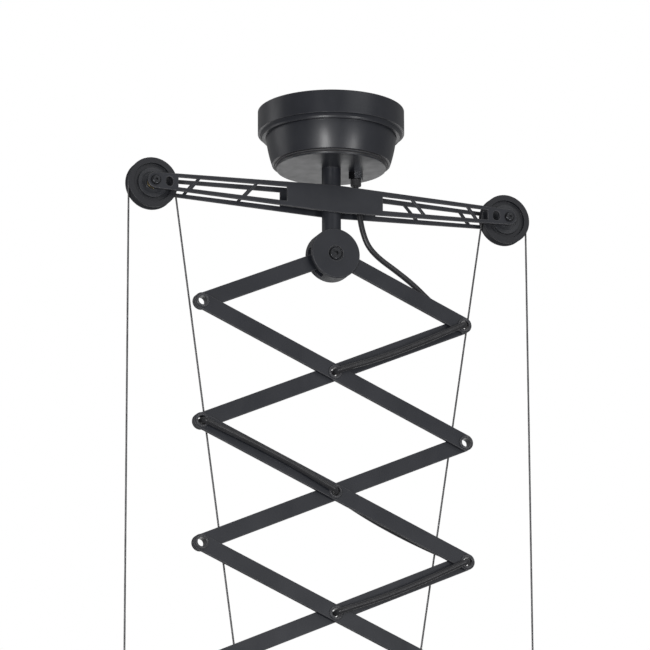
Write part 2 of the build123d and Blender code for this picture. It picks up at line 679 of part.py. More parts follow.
def lower_route():
    """From the last left eyelet down the lower left arm and into the hollow pivot of the lower hub."""
    first = side_pivot(-1, STAGES + 1)
    last = Spot(0, LAMP_HUB_Z)
    out = HUB_FRONT_Y - PIVOT_FLANGE - CABLE_R - CABLE_LIFT
    return [
        (first.x, MEET_FRONT_Y, first.z),
        (first.x, CABLE_FRONT_Y, first.z),
        along(first, last, 0.36, CABLE_FRONT_Y - 0.4, 2.0),
        along(first, last, 0.68, out + 0.4, 1.6),
        (last.x, out, last.z),
        (last.x, SCISSOR_Y, last.z),
    ]


# ---------------------------------------------------------------- the pieces
SIDES = {"left": -1, "right": 1}

save("canopy_ring", canopy_ring())
save("canopy_bowl", canopy_bowl())
save("ceiling_bracket", ceiling_bracket())
save("stem", stem())
save("stem_nuts", *stem_nuts())
save("stem_washer", stem_washer())
save("gland_body", gland_body())
save("gland_locknut", gland_locknut())
save("gland_sleeve", gland_sleeve())

save("crossbar_front_plate", bevelled(bar_plate(-STEM_R - PLATE_THICK), (-STEM_R - PLATE_THICK,), EDGE))
save("crossbar_back_plate", bevelled(bar_plate(STEM_R), (STEM_R + PLATE_THICK,), EDGE))
save("pulley_axle_bolts", *[axle_bolt(s) for s in SIDES.values()])
save("pulley_axle_nuts", *[axle_nut(s) for s in SIDES.values()])
save("pulley_spacers", *axle_spacers(-1), *axle_spacers(1))
save("rope_turns", *[rope_turn(s) for s in SIDES.values()])

save("upper_hub", upper_hub())
save("hub_bolt", hub_bolt())
save("hub_nut", hub_nut())
save("lamp_hub", lamp_hub())
save("lamp_pivot", lamp_pivot())

for word, side in SIDES.items():
    save(f"pulley_{word}", pulley(side))
    save(f"pulley_bush_{word}", pulley_bush(side))
    save(f"upper_half_arm_{word}", upper_half_arm(side))
    save(f"lower_half_arm_{word}", lower_half_arm(side))
    save(f"eyelet_upper_{word}", eyelet(side_pivot(side, 1)))
    save(f"rope_outer_{word}", outer_rope(side))
    save(f"rope_inner_{word}", inner_rope(side))
    outer_top = Vector(side * (BAR_AXLE_X + ROPE_TURN_R), PULLEY_Y, ROPE_OUTER_END_Z)
    slant = (inner_end(side) - inner_tangent(side)[1]).normalized()
    for place, top, way in (("outer", outer_top, Vector(0, 0, -1)), ("inner", inner_end(side), slant)):
        ferrule, eye = rope_end(top, way)
        save(f"ferrule_{place}_{word}", ferrule)
        save(f"rope_eye_{place}_{word}", eye)

for stage in range(1, STAGES + 1):
    save(f"arm_front_{stage}", full_arm(-1, stage))
    save(f"arm_back_{stage}", full_arm(1, stage))
    save(f"eyelets_front_{stage}", eyelet(crossing(stage)), eyelet(side_pivot(1, stage + 1)))
    save(f"eyelet_back_{stage}", eyelet(side_pivot(-1, stage + 1)))

save("cable_upper", cable("cable_upper", UPPER_ROUTE, {}))
save("cable_entry", cable("cable_entry", entry_route(), {2: CABLE_BEND}))
first_run = threaded_route(side_pivot(1, 1), crossing(1), side_pivot(-1, 2))
second_run = threaded_route(side_pivot(-1, 2), crossing(2), side_pivot(1, 3))
third_run = threaded_route(side_pivot(1, 3), crossing(3), side_pivot(-1, 4))
for number, route in enumerate((first_run, second_run, third_run), 1):
    save(f"cable_run_{number}", cable(f"cable_run_{number}", route, THREADED_BENDS))
save("cable_lower", cable("cable_lower", lower_route(), {1: CABLE_BEND, 4: CABLE_BEND}))
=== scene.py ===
"""Looks of a ceiling canopy with a two-pulley crossbar, wire ropes and a lazy-tongs lamp hanger.

Metres, +Z up, +Y away from the viewer, origin on the ceiling plane over the stem.
"""
import json
import logging
import math
from dataclasses import dataclass, field
from enum import Enum
from typing import Any, Iterable, Sequence

import bpy
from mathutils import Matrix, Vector


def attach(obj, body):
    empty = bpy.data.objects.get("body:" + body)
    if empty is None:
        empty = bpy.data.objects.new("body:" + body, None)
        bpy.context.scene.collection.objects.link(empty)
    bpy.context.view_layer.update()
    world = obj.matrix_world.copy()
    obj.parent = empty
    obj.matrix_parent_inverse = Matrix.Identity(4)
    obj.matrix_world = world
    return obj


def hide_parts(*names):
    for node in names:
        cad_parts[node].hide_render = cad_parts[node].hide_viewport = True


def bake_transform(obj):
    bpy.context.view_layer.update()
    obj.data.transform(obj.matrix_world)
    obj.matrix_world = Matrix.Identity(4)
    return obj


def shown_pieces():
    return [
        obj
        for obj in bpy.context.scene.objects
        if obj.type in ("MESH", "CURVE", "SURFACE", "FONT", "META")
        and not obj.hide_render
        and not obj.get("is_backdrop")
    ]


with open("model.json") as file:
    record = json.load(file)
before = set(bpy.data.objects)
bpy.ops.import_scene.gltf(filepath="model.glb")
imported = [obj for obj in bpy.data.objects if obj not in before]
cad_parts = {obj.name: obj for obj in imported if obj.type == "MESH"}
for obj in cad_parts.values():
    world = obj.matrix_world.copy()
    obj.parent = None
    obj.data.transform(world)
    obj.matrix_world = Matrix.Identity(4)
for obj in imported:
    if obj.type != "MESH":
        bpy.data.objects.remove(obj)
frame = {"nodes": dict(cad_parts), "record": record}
LOG = logging.getLogger("lamp_hanger")
Point = tuple[float, float, float]
Colour = tuple[float, float, float, float]


class Side(Enum):
    """The two mirrored sides of the crossbar."""

    LEFT = -1
    RIGHT = 1

    @property
    def word(self) -> str:
        """The side's name as the nodes and bodies spell it."""
        return self.name.lower()


class Slot(str, Enum):
    """Material slots of the record."""

    CANOPY = "canopy_enamel"
    PAINT = "black_paint"
    PULLEY = "pulley_black"
    BOLT = "dark_bolt"
    EYELET = "eyelet_steel"
    ZINC = "zinc_plated"
    BRASS = "bush_brass"
    ROPE = "wire_rope"
    FERRULE = "ferrule_metal"
    CABLE = "cable_rubber"
    SLEEVE = "sleeve_rubber"


# ------------------------------------------------------------------ node trees
@dataclass
class Wiring:
    """Adds and joins the nodes of one tree."""

    tree: bpy.types.NodeTree

    def add(self, kind: str, **settings: Any) -> bpy.types.Node:
        """Add a node.

        Args:
            kind: The node's class name.
            settings: Properties to set on it.

        Returns:
            The new node.
        """
        node = self.tree.nodes.new(kind)
        for name, value in settings.items():
            setattr(node, name, value)
        return node

    def feed(self, socket: bpy.types.NodeSocket, value: Any) -> None:
        """Join a socket to another one, or set its value.

        Args:
            socket: The input to feed.
            value: An output socket, or a plain value.
        """
        if isinstance(value, bpy.types.NodeSocket):
            self.tree.links.new(value, socket)
        else:
            socket.default_value = value

    def fed(self, kind: str, values: Iterable[Any], **settings: Any) -> bpy.types.Node:
        """Add a node and feed its inputs.

        Args:
            kind: The node's class name.
            values: Its inputs in order.
            settings: Properties to set on it.

        Returns:
            The new node.
        """
        node = self.add(kind, **settings)
        for socket, value in zip(node.inputs, values):
            self.feed(socket, value)
        return node

    def maths(self, operation: str, *values: Any, clamp: bool = False) -> bpy.types.NodeSocket:
        """Add a Math node and return its result.

        Args:
            operation: The operation's name.
            values: Its inputs in order.
            clamp: Whether the result is kept from 0 to 1.

        Returns:
            The result socket.
        """
        return self.fed("ShaderNodeMath", values, operation=operation, use_clamp=clamp).outputs[0]

    def vectors(self, operation: str, *values: Any) -> bpy.types.Node:
        """Add a Vector Math node.

        Args:
            operation: The operation's name.
            values: Its inputs in order.

        Returns:
            The node, because some operations answer with a number.
        """
        return self.fed("ShaderNodeVectorMath", values, operation=operation)

    def scaled(self, vector: bpy.types.NodeSocket, factor: Any) -> bpy.types.NodeSocket:
        """A vector times a number."""
        node = self.add("ShaderNodeVectorMath", operation="SCALE")
        self.feed(node.inputs[0], vector)
        self.feed(node.inputs["Scale"], factor)
        return node.outputs[0]

    def noise(self, vector: bpy.types.NodeSocket, scale: Any, detail: float) -> bpy.types.NodeSocket:
        """A noise value at a scale, read at a vector."""
        node = self.add("ShaderNodeTexNoise")
        self.feed(node.inputs["Vector"], vector)
        self.feed(node.inputs["Scale"], scale)
        node.inputs["Detail"].default_value = detail
        return node.outputs["Fac"]

    def spread(self, value: bpy.types.NodeSocket, low: float, high: float, to_low: Any, to_high: Any) -> Any:
        """Map a value from one range to another, kept inside it.

        Args:
            value: The value to map.
            low: Start of its range.
            high: End of its range.
            to_low: Result at the start.
            to_high: Result at the end.

        Returns:
            The result socket.
        """
        node = self.add("ShaderNodeMapRange")
        names = ("Value", "From Min", "From Max", "To Min", "To Max")
        for name, item in zip(names, (value, low, high, to_low, to_high)):
            self.feed(node.inputs[name], item)
        return node.outputs[0]

    def blend(self, share: Any, first: Any, second: Any) -> bpy.types.NodeSocket:
        """Mix two colours by a share and return the colour."""
        node = self.add("ShaderNodeMix", data_type="RGBA")
        self.feed(node.inputs[0], share)
        self.feed(node.inputs[6], first)
        self.feed(node.inputs[7], second)
        return node.outputs[2]


def new_group(
    name: str,
    kind: str,
    inputs: Iterable[tuple[str, str, Any]],
    outputs: Iterable[tuple[str, str]],
) -> tuple[Wiring, bpy.types.Node, bpy.types.Node]:
    """Make an empty node group with named sockets.

    Args:
        name: The group's name.
        kind: The tree's class name.
        inputs: Name, socket class and default of each input.
        outputs: Name and socket class of each output.

    Returns:
        The wiring of the tree, its input node and its output node.
    """
    tree = bpy.data.node_groups.new(name, kind)
    for label, socket_kind, default in inputs:
        socket = tree.interface.new_socket(name=label, in_out="INPUT", socket_type=socket_kind)
        if default is not None:
            socket.default_value = default
    for label, socket_kind in outputs:
        tree.interface.new_socket(name=label, in_out="OUTPUT", socket_type=socket_kind)
    wiring = Wiring(tree)
    return wiring, wiring.add("NodeGroupInput"), wiring.add("NodeGroupOutput")


class SurfaceGroups:
    """Shader node groups that several finishes share, each built once."""

    FLOAT = "NodeSocketFloat"
    VECTOR = "NodeSocketVector"

    def __init__(self) -> None:
        """Build all the groups."""
        self.rubbed_edge = self._rubbed_edge()
        self.spray_grain = self._spray_grain()
        self.lathe_rings = self._lathe_rings()
        self.settled_dust = self._settled_dust()
        self.drawn_streaks = self._drawn_streaks()

    def _rubbed_edge(self) -> bpy.types.NodeTree:
        """Mask of the outer edges, broken up as handling rubs them; the finishes give it a lighter colour,
        partly wear and partly a painted highlight along the edges.
        """
        w, start, end = new_group(
            "rubbed_edge",
            "ShaderNodeTree",
            [("Vector", self.VECTOR, None), ("Radius", self.FLOAT, 0.0006), ("Strength", self.FLOAT, 6.0)],
            [("Edge", self.FLOAT), ("Normal", self.VECTOR)],
        )
        rounded = w.add("ShaderNodeBevel", samples=4)
        w.feed(rounded.inputs["Radius"], start.outputs["Radius"])
        flat = w.add("ShaderNodeNewGeometry")
        same = w.vectors("DOT_PRODUCT", rounded.outputs["Normal"], flat.outputs["Normal"]).outputs["Value"]
        bent = w.maths("SUBTRACT", 1.0, same)
        patches = w.spread(w.noise(start.outputs["Vector"], 160.0, 4.0), 0.35, 0.7, 0.35, 1.0)
        strong = w.maths("MULTIPLY", bent, start.outputs["Strength"])
        w.feed(end.inputs["Edge"], w.maths("MULTIPLY", strong, patches, clamp=True))
        w.feed(end.inputs["Normal"], rounded.outputs["Normal"])
        return w.tree

    def _spray_grain(self) -> bpy.types.NodeTree:
        """Fine orange peel of sprayed paint, with broad cloudy changes of tone."""
        w, start, end = new_group(
            "spray_grain",
            "ShaderNodeTree",
            [
                ("Vector", self.VECTOR, None),
                ("Grain Scale", self.FLOAT, 1400.0),
                ("Cloud Scale", self.FLOAT, 30.0),
            ],
            [("Tone", self.FLOAT), ("Gloss Change", self.FLOAT), ("Height", self.FLOAT)],
        )
        grain = w.noise(start.outputs["Vector"], start.outputs["Grain Scale"], 2.0)
        cloud = w.noise(start.outputs["Vector"], start.outputs["Cloud Scale"], 5.0)
        upright = w.vectors("MULTIPLY", start.outputs["Vector"], (1.0, 1.0, 0.35)).outputs[0]
        smear = w.noise(upright, 90.0, 3.0)
        w.feed(end.inputs["Tone"], w.spread(cloud, 0.3, 0.7, 0.0, 1.0))
        w.feed(end.inputs["Gloss Change"], w.spread(smear, 0.3, 0.75, -0.05, 0.09))
        w.feed(end.inputs["Height"], grain)
        return w.tree

    def _lathe_rings(self) -> bpy.types.NodeTree:
        """Fine turned rings round the axle of either pulley."""
        w, start, end = new_group(
            "lathe_rings",
            "ShaderNodeTree",
            [
                ("Vector", self.VECTOR, None),
                ("Centre Across", self.FLOAT, 0.192),
                ("Centre Height", self.FLOAT, -0.0955),
                ("Pitch", self.FLOAT, 0.0009),
            ],
            [("Ring", self.FLOAT), ("Radius", self.FLOAT)],
        )
        parts = w.fed("ShaderNodeSeparateXYZ", [start.outputs["Vector"]])
        across = w.maths("SUBTRACT", w.maths("ABSOLUTE", parts.outputs["X"]), start.outputs["Centre Across"])
        height = w.maths("SUBTRACT", parts.outputs["Z"], start.outputs["Centre Height"])
        square = w.maths("ADD", w.maths("MULTIPLY", across, across), w.maths("MULTIPLY", height, height))
        radius = w.maths("SQRT", square)
        wobble = w.maths("MULTIPLY", w.noise(start.outputs["Vector"], 60.0, 2.0), 0.4)
        turns = w.maths("ADD", w.maths("DIVIDE", radius, start.outputs["Pitch"]), wobble)
        wave = w.maths("SINE", w.maths("MULTIPLY", turns, math.tau))
        w.feed(end.inputs["Ring"], w.spread(wave, -1.0, 1.0, 0.0, 1.0))
        w.feed(end.inputs["Radius"], radius)
        return w.tree

    def _settled_dust(self) -> bpy.types.NodeTree:
        """Mask of thin dust on the surfaces that face up."""
        w, start, end = new_group(
            "settled_dust",
            "ShaderNodeTree",
            [("Vector", self.VECTOR, None), ("Amount", self.FLOAT, 0.3)],
            [("Dust", self.FLOAT)],
        )
        facing = w.fed("ShaderNodeSeparateXYZ", [w.add("ShaderNodeNewGeometry").outputs["Normal"]])
        upward = w.spread(facing.outputs["Z"], 0.2, 1.0, 0.0, 1.0)
        motes = w.spread(w.noise(start.outputs["Vector"], 420.0, 5.0), 0.35, 0.75, 0.2, 1.0)
        amount = w.maths("MULTIPLY", w.maths("MULTIPLY", upward, motes), start.outputs["Amount"])
        w.feed(end.inputs["Dust"], amount)
        return w.tree

    def _drawn_streaks(self) -> bpy.types.NodeTree:
        """Thin streaks of bare metal, long along one direction."""
        w, start, end = new_group(
            "drawn_streaks",
            "ShaderNodeTree",
            [("Vector", self.VECTOR, None), ("Stretch", self.VECTOR, (60.0, 900.0, 900.0))],
            [("Streak", self.FLOAT)],
        )
        long = w.vectors("MULTIPLY", start.outputs["Vector"], start.outputs["Stretch"]).outputs[0]
        w.feed(end.inputs["Streak"], w.noise(long, 1.0, 4.0))
        return w.tree


GROUPS = SurfaceGroups()


def placed(w: Wiring, group: bpy.types.NodeTree, **values: Any) -> bpy.types.Node:
    """Place a shader group in a material.

    Args:
        w: The material's wiring.
        group: The group to place.
        values: Its inputs, with spaces in their names written as underscores.

    Returns:
        The group node.
    """
    node = w.add("ShaderNodeGroup")
    node.node_tree = group
    for name, value in values.items():
        w.feed(node.inputs[name.replace("_", " ")], value)
    return node


def start_material(name: str) -> tuple[bpy.types.Material, Wiring, bpy.types.Node, bpy.types.NodeSocket]:
    """Start a material with a Principled shader.

    Args:
        name: The material's name.

    Returns:
        The material, its wiring, the shader and the object coordinates.
    """
    material = bpy.data.materials.new(name)
    material.use_nodes = True
    w = Wiring(material.node_tree)
    shader = material.node_tree.nodes["Principled BSDF"]
    return material, w, shader, w.add("ShaderNodeTexCoord").outputs["Object"]


def relief(w: Wiring, shader: bpy.types.Node, height: Any, distance: float, base: Any = None) -> None:
    """Give a shader a bump.

    Args:
        w: The material's wiring.
        shader: The shader that takes the normal.
        height: Height from 0 to 1.
        distance: Depth of the relief in metres.
        base: A normal to start from.
    """
    bump = w.add("ShaderNodeBump")
    bump.inputs["Strength"].default_value = 1.0
    bump.inputs["Distance"].default_value = distance
    w.feed(bump.inputs["Height"], height)
    if base is not None:
        w.feed(bump.inputs["Normal"], base)
    w.feed(shader.inputs["Normal"], bump.outputs["Normal"])


# ------------------------------------------------------------------ finishes
@dataclass(frozen=True)
class SprayedPaint:
    """Black sprayed paint or enamel on steel."""

    name: str
    colour: Colour = (0.016, 0.018, 0.025, 1.0)
    cloud: Colour = (0.026, 0.028, 0.036, 1.0)
    # Edge colour: wear on the outer edges plus a painted highlight along them.
    edge: Colour = (0.21, 0.205, 0.21, 1.0)
    dust: Colour = (0.20, 0.20, 0.20, 1.0)
    roughness: float = 0.42
    peel: float = 0.000015
    grain_scale: float = 1400.0
    # Strength of the lighter edge colour, that is of the wear and the painted edge highlight.
    wear: float = 8.0
    edge_radius: float = 0.0009
    dust_amount: float = 0.25
    coat: float = 0.0
    coat_roughness: float = 0.28

    def build(self) -> bpy.types.Material:
        """Build the material."""
        material, w, shader, place = start_material(self.name)
        grain = placed(w, GROUPS.spray_grain, Vector=place, Grain_Scale=self.grain_scale)
        edge = placed(w, GROUPS.rubbed_edge, Vector=place, Radius=self.edge_radius, Strength=self.wear)
        dust = placed(w, GROUPS.settled_dust, Vector=place, Amount=self.dust_amount)
        tone = w.blend(grain.outputs["Tone"], self.colour, self.cloud)
        # Lighter colour on the outer edges: handling wear and a painted highlight in one.
        worn_and_highlit_tone = w.blend(edge.outputs["Edge"], tone, self.edge)
        w.feed(shader.inputs["Base Color"], w.blend(dust.outputs["Dust"], worn_and_highlit_tone, self.dust))
        rough = w.maths("ADD", grain.outputs["Gloss Change"], self.roughness)
        dull = w.maths("MULTIPLY", dust.outputs["Dust"], 0.3)
        w.feed(shader.inputs["Roughness"], w.maths("ADD", rough, dull, clamp=True))
        shader.inputs["Coat Weight"].default_value = self.coat
        shader.inputs["Coat Roughness"].default_value = self.coat_roughness
        relief(w, shader, grain.outputs["Height"], self.peel, edge.outputs["Normal"])
        return material


@dataclass(frozen=True)
class TurnedPaint:
    """Dark paint over a turned wheel: fine rings, a matt channel and a rim that is lighter from wear and
    from a painted highlight.
    """

    name: str
    colour: Colour = (0.019, 0.020, 0.025, 1.0)
    ring: Colour = (0.050, 0.053, 0.060, 1.0)
    # Rim colour: wear on the outer edges plus a painted highlight along them.
    rim: Colour = (0.11, 0.115, 0.125, 1.0)
    roughness: float = 0.36
    pitch: float = 0.0009
    depth: float = 0.00004
    disc: tuple[float, float] = (0.0150, 0.0158)

    def build(self) -> bpy.types.Material:
        """Build the material."""
        material, w, shader, place = start_material(self.name)
        rings = placed(w, GROUPS.lathe_rings, Vector=place, Pitch=self.pitch)
        grain = placed(w, GROUPS.spray_grain, Vector=place, Grain_Scale=1600.0)
        edge = placed(w, GROUPS.rubbed_edge, Vector=place, Radius=0.0005, Strength=4.0)
        inside = w.spread(rings.outputs["Radius"], *self.disc, 1.0, 0.0)
        turned = w.maths("MULTIPLY", rings.outputs["Ring"], inside)
        tone = w.blend(turned, self.colour, self.ring)
        # The outer edges get the lighter rim colour, wear plus a painted highlight.
        w.feed(shader.inputs["Base Color"], w.blend(edge.outputs["Edge"], tone, self.rim))
        change = w.maths("ADD", grain.outputs["Gloss Change"], self.roughness)
        polish = w.maths("MULTIPLY", turned, -0.06)
        w.feed(shader.inputs["Roughness"], w.maths("ADD", change, polish, clamp=True))
        relief(w, shader, turned, self.depth, edge.outputs["Normal"])
        return material


@dataclass(frozen=True)
class BareMetal:
    """Steel, zinc, brass or aluminium with drawn streaks and a lighter outer edge, partly wear and partly a
    painted highlight.
    """

    name: str
    colour: Colour
    streak: Colour
    # Edge colour: wear on the outer edges plus a painted highlight along them.
    edge: Colour
    roughness: float = 0.35
    metallic: float = 0.9
    stretch: Point = (900.0, 120.0, 900.0)
    depth: float = 0.00001

    def build(self) -> bpy.types.Material:
        """Build the material."""
        material, w, shader, place = start_material(self.name)
        streak = placed(w, GROUPS.drawn_streaks, Vector=place, Stretch=self.stretch)
        edge = placed(w, GROUPS.rubbed_edge, Vector=place, Radius=0.0004, Strength=4.0)
        amount = w.spread(streak.outputs["Streak"], 0.3, 0.7, 0.0, 1.0)
        tone = w.blend(amount, self.colour, self.streak)
        # The outer edges get the lighter edge colour, wear plus a painted highlight.
        w.feed(shader.inputs["Base Color"], w.blend(edge.outputs["Edge"], tone, self.edge))
        smooth, dull = self.roughness - 0.07, self.roughness + 0.1
        w.feed(shader.inputs["Roughness"], w.spread(streak.outputs["Streak"], 0.25, 0.75, smooth, dull))
        shader.inputs["Metallic"].default_value = self.metallic
        relief(w, shader, streak.outputs["Streak"], self.depth, edge.outputs["Normal"])
        return material


@dataclass(frozen=True)
class RubberSkin:
    """Extruded rubber: soft sheen, fine grain and a little dust."""

    name: str
    colour: Colour = (0.020, 0.020, 0.023, 1.0)
    worn: Colour = (0.036, 0.036, 0.040, 1.0)
    roughness: float = 0.30
    dust: Colour = (0.16, 0.16, 0.16, 1.0)

    def build(self) -> bpy.types.Material:
        """Build the material."""
        material, w, shader, place = start_material(self.name)
        grain = placed(w, GROUPS.spray_grain, Vector=place, Grain_Scale=2200.0, Cloud_Scale=55.0)
        dust = placed(w, GROUPS.settled_dust, Vector=place, Amount=0.35)
        tone = w.blend(grain.outputs["Tone"], self.colour, self.worn)
        w.feed(shader.inputs["Base Color"], w.blend(dust.outputs["Dust"], tone, self.dust))
        rough = w.maths("ADD", grain.outputs["Gloss Change"], self.roughness, clamp=True)
        w.feed(shader.inputs["Roughness"], rough)
        shader.inputs["Sheen Weight"].default_value = 0.15
        shader.inputs["Sheen Roughness"].default_value = 0.4
        relief(w, shader, grain.outputs["Height"], 0.00002)
        return material


# The lighter edge colour in each finish below is wear plus a painted highlight on the outer edges.
FINISHES: dict[Slot, Any] = {
    Slot.CANOPY: SprayedPaint(
        "black_enamel", roughness=0.37, peel=0.000008, coat=0.35, wear=3.0, dust_amount=0.15
    ),
    Slot.PAINT: SprayedPaint("matt_black_paint"),
    Slot.PULLEY: TurnedPaint("turned_black_paint"),
    Slot.BOLT: BareMetal(
        "blackened_bolt_steel",
        (0.045, 0.047, 0.052, 1.0), (0.075, 0.077, 0.083, 1.0), (0.22, 0.22, 0.23, 1.0), 0.28
    ),
    # The eyelets are lighter than the paint and have a strong edge colour, partly their own steel and partly
    # a painted highlight on the rivet heads.
    Slot.EYELET: SprayedPaint(
        "blackened_eyelet", (0.040, 0.041, 0.047, 1.0), (0.060, 0.061, 0.068, 1.0), (0.30, 0.30, 0.31, 1.0),
        roughness=0.27, wear=7.0, edge_radius=0.0006,
    ),
    Slot.ZINC: BareMetal(
        "zinc_plate", (0.50, 0.51, 0.53, 1.0), (0.62, 0.62, 0.62, 1.0), (0.75, 0.75, 0.75, 1.0), 0.34
    ),
    Slot.BRASS: BareMetal(
        "bush_brass", (0.58, 0.42, 0.18, 1.0), (0.68, 0.52, 0.24, 1.0), (0.8, 0.66, 0.36, 1.0), 0.3
    ),
    Slot.ROPE: BareMetal(
        "dull_rope_steel", (0.11, 0.11, 0.115, 1.0), (0.20, 0.20, 0.205, 1.0), (0.34, 0.34, 0.34, 1.0), 0.42
    ),
    Slot.FERRULE: BareMetal(
        "pressed_ferrule", (0.30, 0.30, 0.31, 1.0), (0.40, 0.40, 0.41, 1.0), (0.6, 0.6, 0.6, 1.0), 0.4
    ),
    Slot.CABLE: RubberSkin("cable_rubber"),
    Slot.SLEEVE: RubberSkin("sleeve_rubber", (0.030, 0.030, 0.033, 1.0), (0.055, 0.055, 0.058, 1.0), 0.5),
}
MATERIALS: dict[Slot, bpy.types.Material] = {slot: finish.build() for slot, finish in FINISHES.items()}


# ------------------------------------------------------------------ meshes and routes
def stand(name: str, data: Any) -> bpy.types.Object:
    """Put data in the scene as an object at the origin."""
    made = bpy.data.objects.new(name, data)
    bpy.context.scene.collection.objects.link(made)
    return made


def dress_node(node: str) -> None:
    """Give a CAD node the finish of its slot."""
    part = next(p for p in frame["record"]["subparts"] if p["node"] == node)
    shown = frame["nodes"][node]
    material = MATERIALS[Slot(part["material_slot"])]
    if shown.material_slots:
        for slot in shown.material_slots:
            slot.material = material
    else:
        shown.data.materials.append(material)


def finished(piece: bpy.types.Object, slot: Slot, smooth: bool = True) -> bpy.types.Object:
    """Give a new piece its slot, its finish and its shading.

    Args:
        piece: The piece.
        slot: The slot that its finish comes from.
        smooth: Whether its faces are shaded smooth.

    Returns:
        The same piece.
    """
    piece.data.materials.clear()
    piece.data.materials.append(MATERIALS[slot])
    if piece.type == "MESH":
        piece.data.polygons.foreach_set("use_smooth", [smooth] * len(piece.data.polygons))
    return piece


@dataclass
class Route:
    """A smooth line through listed control points."""

    name: str
    points: list[Point]
    radius: float

    def curve(self, bevel: bool) -> bpy.types.Object:
        """Make the line as a curve object.

        Args:
            bevel: Whether it gets its round section.

        Returns:
            The curve object.
        """
        data = bpy.data.curves.new(self.name, "CURVE")
        data.dimensions = "3D"
        data.resolution_u = 14
        data.use_fill_caps = True
        data.bevel_depth = self.radius if bevel else 0.0
        data.bevel_resolution = 5
        spline = data.splines.new("NURBS")
        spline.points.add(len(self.points) - 1)
        for point, place in zip(spline.points, self.points):
            point.co = (*place, 1.0)
        spline.order_u = 3
        spline.use_endpoint_u = True
        return stand(self.name, data)

    def mesh_of(self, bevel: bool) -> bpy.types.Mesh:
        """The line, or its tube, as a plain mesh."""
        return baked(self.curve(bevel))

    def line(self) -> list[Vector]:
        """The points that the smooth line passes."""
        return [v.co.copy() for v in self.mesh_of(False).vertices]

    def tube(self) -> bpy.types.Object:
        """The line's tube as a mesh object."""
        return stand(self.name, self.mesh_of(True))


def baked(source: bpy.types.Object) -> bpy.types.Mesh:
    """Turn an object into a plain mesh as it is evaluated, and remove it."""
    bpy.context.view_layer.update()
    mesh = bpy.data.meshes.new_from_object(source.evaluated_get(bpy.context.evaluated_depsgraph_get()))
    bpy.data.objects.remove(source, do_unlink=True)
    return mesh


def polyline_mesh(name: str, lines: Sequence[Sequence[Vector]], closed: bool = False) -> bpy.types.Mesh:
    """A mesh of edges along some lines.

    Args:
        name: The mesh's name.
        lines: The lines' points.
        closed: Whether each line comes back to its start.

    Returns:
        The mesh.
    """
    points: list[Vector] = []
    edges: list[tuple[int, int]] = []
    for line in lines:
        first = len(points)
        points.extend(line)
        edges.extend((first + k, first + k + 1) for k in range(len(line) - 1))
        if closed:
            edges.append((first + len(line) - 1, first))
    mesh = bpy.data.meshes.new(name)
    mesh.from_pydata([tuple(p) for p in points], edges, [])
    return mesh


